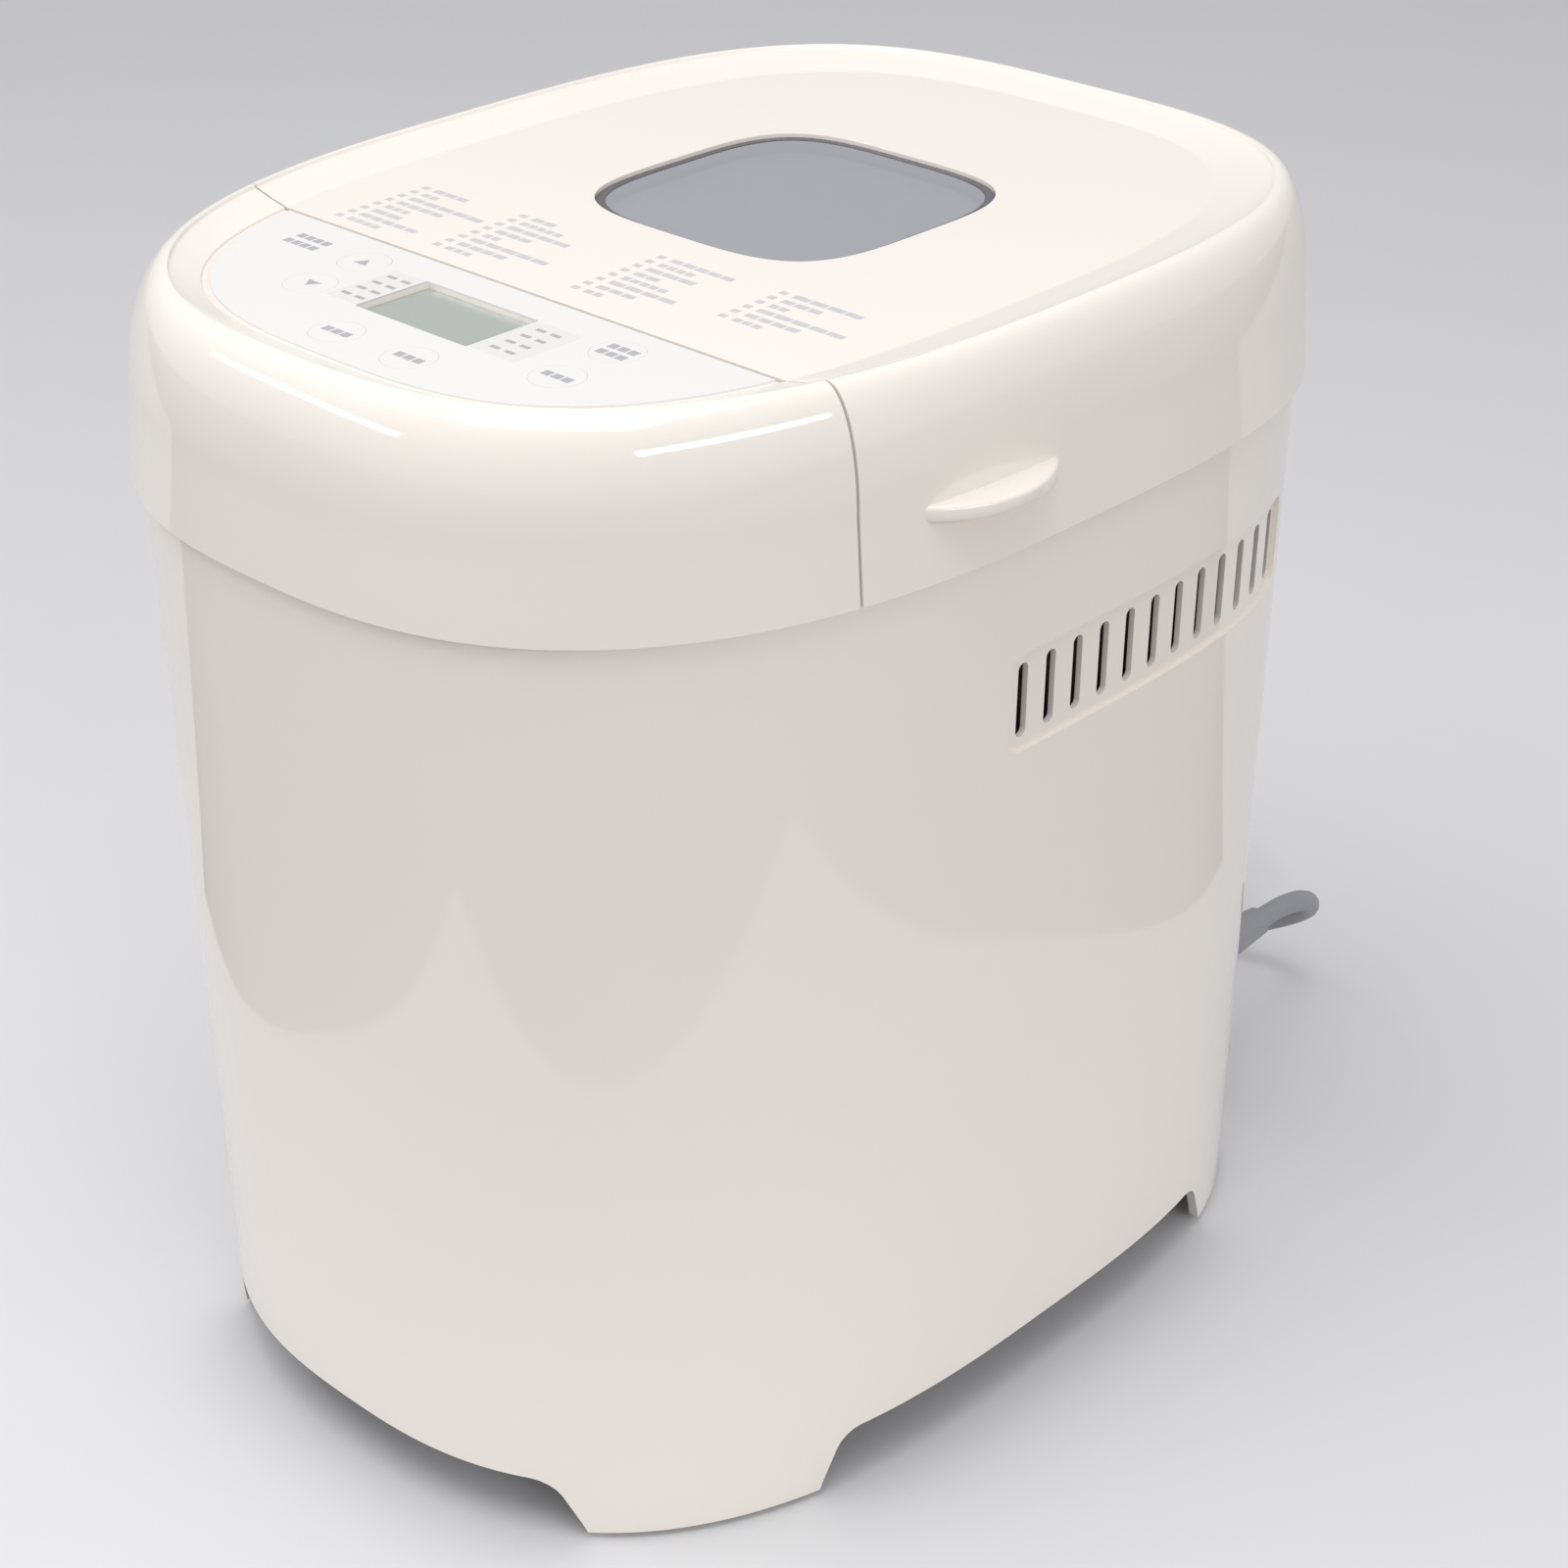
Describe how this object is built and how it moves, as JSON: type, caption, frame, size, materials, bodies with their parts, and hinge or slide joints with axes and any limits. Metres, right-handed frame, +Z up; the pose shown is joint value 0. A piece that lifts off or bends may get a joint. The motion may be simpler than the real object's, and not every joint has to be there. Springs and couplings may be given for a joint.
{
  "type": "bread machine",
  "caption": "Countertop automatic bread maker: tall oval casing, hinged windowed lid, sloping-rim key panel with display, lift-out pan with kneading blade, belt drive, heater and mains cord.",
  "frame": {"origin": "centre of the footprint on the surface the rubber feet stand on", "axes": "+Z up, -Y towards the user and the key panel, +X to the machine's right-hand side as the user sees it"},
  "size_m": [0.2412, 0.4417, 0.303],
  "materials": {
    "casing": "smooth glossy cream moulding",
    "deck_plastic": "fine satin cream moulding",
    "base_plastic": "dark grey fine-textured moulding",
    "rubber": "matte black",
    "silicone": "soft grey silicone",
    "screw_steel": "zinc plated",
    "film": "printed pale membrane film",
    "display": "grey liquid-crystal window",
    "circuit_board": "green solder mask",
    "chamber_steel": "pressed bright sheet",
    "heater_sheath": "dark oxidised sheath",
    "ceramic": "white ceramic",
    "cast_metal": "as-cast",
    "bronze": "oil-filled bronze",
    "motor_iron": "lacquered laminations",
    "shaft_steel": "ground bright",
    "nonstick": "dark non-stick coating",
    "window_trim": "grey satin",
    "window_glass": "tinted heat-resistant glass",
    "cord_black": "grey flexible sheath"
  },
  "bodies": {
    "body": {"body_shell": "casing", "base_plate": "base_plastic", "rubber_feet": "rubber", "base_screws": "screw_steel", "chamber_deck": "deck_plastic", "deck_screws": "screw_steel", "control_housing": "casing", "control_overlay": "film", "lcd_lens": "display", "lcd_module": "base_plastic", "control_board": "circuit_board", "board_screws": "screw_steel", "tact_switches": "base_plastic", "baking_chamber": "chamber_steel", "pan_socket": "chamber_steel", "heating_element": "heater_sheath", "heater_clips": "chamber_steel", "temperature_sensor": "chamber_steel", "thermal_fuse": "ceramic", "drive_plate": "chamber_steel", "bearing_housing": "cast_metal", "bearing_bush": "bronze", "motor": "motor_iron", "run_capacitor": "base_plastic", "drive_belt": "rubber", "heat_shield": "chamber_steel", "power_board": "circuit_board", "body_hinge": "casing", "hinge_pins": "screw_steel", "cord_gland": "cord_black", "mains_cord": "cord_black", "cord_coil": "cord_black", "mains_plug": "cord_black"},
    "lid": {"lid_shell": "casing", "lid_liner": "chamber_steel", "lid_hinge": "casing", "lid_gasket": "silicone", "lid_screws": "screw_steel", "window_frame": "window_trim", "window_outer": "window_glass", "window_inner": "window_glass"},
    "pan": {"bread_pan": "nonstick", "pan_base": "cast_metal", "pan_bearing": "bronze", "pan_ears": "shaft_steel"},
    "handle": {"pan_handle": "shaft_steel"},
    "blade": {"pan_shaft": "shaft_steel", "kneading_blade": "nonstick"},
    "drive": {"drive_pulley": "cast_metal", "drive_coupler": "cast_metal"},
    "rotor": {"motor_rotor": "shaft_steel", "motor_fan": "base_plastic"},
    "key_up": {"key_up": "film"},
    "key_down": {"key_down": "film"},
    "key_crust": {"key_crust": "film"},
    "key_size": {"key_size": "film"},
    "key_start": {"key_start": "film"},
    "key_cancel": {"key_cancel": "film"}
  },
  "joints": [
    {"name": "lid_hinge", "type": "hinge", "parent": "body", "child": "lid", "pos_m": [0, 0.1465, 0.25], "axis": [-1, 0, 0], "range_deg": [0, 95]},
    {"name": "pan_lift", "type": "slide", "parent": "body", "child": "pan", "axis": [0, 0, 1], "range_m": [0, 0.1]},
    {"name": "handle_pivot", "type": "hinge", "parent": "pan", "child": "handle", "pos_m": [0, 0.024, 0.226], "axis": [-1, 0, 0], "range_deg": [0, 180]},
    {"name": "drive_spin", "type": "hinge", "parent": "body", "child": "drive", "pos_m": [0, 0.024, 0.05], "axis": [0, 0, 1], "continuous": true},
    {"name": "blade_spin", "type": "hinge", "parent": "pan", "child": "blade", "pos_m": [0, 0.024, 0.09], "axis": [0, 0, 1], "continuous": true},
    {"name": "motor_spin", "type": "hinge", "parent": "body", "child": "rotor", "pos_m": [0, -0.098, 0.08], "axis": [0, 0, 1], "continuous": true},
    {"name": "key_up_press", "type": "slide", "parent": "body", "child": "key_up", "axis": [0, 0, -1], "range_m": [0, 0.0003], "stiffness_N_per_m": 3000},
    {"name": "key_down_press", "type": "slide", "parent": "body", "child": "key_down", "axis": [0, 0, -1], "range_m": [0, 0.0003], "stiffness_N_per_m": 3000},
    {"name": "key_crust_press", "type": "slide", "parent": "body", "child": "key_crust", "axis": [0, 0, -1], "range_m": [0, 0.0003], "stiffness_N_per_m": 3000},
    {"name": "key_size_press", "type": "slide", "parent": "body", "child": "key_size", "axis": [0, 0, -1], "range_m": [0, 0.0003], "stiffness_N_per_m": 3000},
    {"name": "key_start_press", "type": "slide", "parent": "body", "child": "key_start", "axis": [0, 0, -1], "range_m": [0, 0.0003], "stiffness_N_per_m": 3000},
    {"name": "key_cancel_press", "type": "slide", "parent": "body", "child": "key_cancel", "axis": [0, 0, -1], "range_m": [0, 0.0003], "stiffness_N_per_m": 3000}
  ],
  "couplings": [
    {"joint": "pan_lift", "follows": "lid_hinge", "m_per_rad": 0.06},
    {"joint": "blade_spin", "follows": "drive_spin", "ratio": 1},
    {"joint": "motor_spin", "follows": "drive_spin", "ratio": 5}
  ]
}
